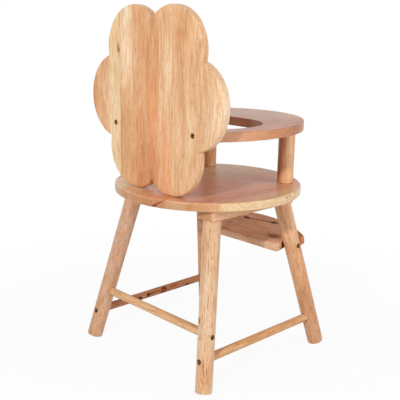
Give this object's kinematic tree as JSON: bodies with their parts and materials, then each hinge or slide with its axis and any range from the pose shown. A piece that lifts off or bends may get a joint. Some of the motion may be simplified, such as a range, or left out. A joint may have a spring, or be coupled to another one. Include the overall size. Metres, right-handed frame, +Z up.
{
  "type": "doll high chair",
  "caption": "Wooden doll high chair: splayed round legs, thin stretchers, round seat, flower-shaped back panel, horseshoe tray on posts and a half-moon footrest.",
  "frame": {"origin": "on the floor, under the middle of the chair's bounding box", "axes": "+Z up, +X to the sitter's left, the sitter faces -Y"},
  "size_m": [0.285, 0.2916, 0.5244],
  "materials": {
    "board_wood": "light hardwood boards glued from staves, clear satin finish",
    "turned_wood": "round hardwood bars with lengthwise grain, clear satin finish",
    "batten_wood": "hardwood battens, clear satin finish",
    "screw_steel": "dark bronze passivated wood screws"
  },
  "bodies": {
    "root": {"seat": "board_wood", "back_panel": "board_wood", "tray": "board_wood", "footrest": "board_wood", "batten_left": "batten_wood", "batten_right": "batten_wood", "leg_front_left": "turned_wood", "leg_front_right": "turned_wood", "leg_rear_left": "turned_wood", "leg_rear_right": "turned_wood", "post_left": "turned_wood", "post_right": "turned_wood", "stretcher_rear": "turned_wood", "stretcher_left": "turned_wood", "stretcher_right": "turned_wood", "dowel_left": "turned_wood", "dowel_right": "turned_wood", "screw_panel_left": "screw_steel", "screw_panel_right": "screw_steel", "screw_tray_left": "screw_steel", "screw_tray_right": "screw_steel", "screw_post_left": "screw_steel", "screw_post_right": "screw_steel", "screw_seat_front_left": "screw_steel", "screw_seat_front_right": "screw_steel", "screw_seat_rear_left": "screw_steel", "screw_seat_rear_right": "screw_steel", "screw_leg_front_left": "screw_steel", "screw_leg_front_right": "screw_steel", "screw_leg_rear_left": "screw_steel", "screw_leg_rear_right": "screw_steel", "screw_footrest_left": "screw_steel", "screw_footrest_right": "screw_steel", "screw_stretcher_rear_left": "screw_steel", "screw_stretcher_rear_right": "screw_steel", "screw_stretcher_left_rear": "screw_steel", "screw_stretcher_left_front": "screw_steel", "screw_stretcher_right_rear": "screw_steel", "screw_stretcher_right_front": "screw_steel"}
  },
  "joints": []
}
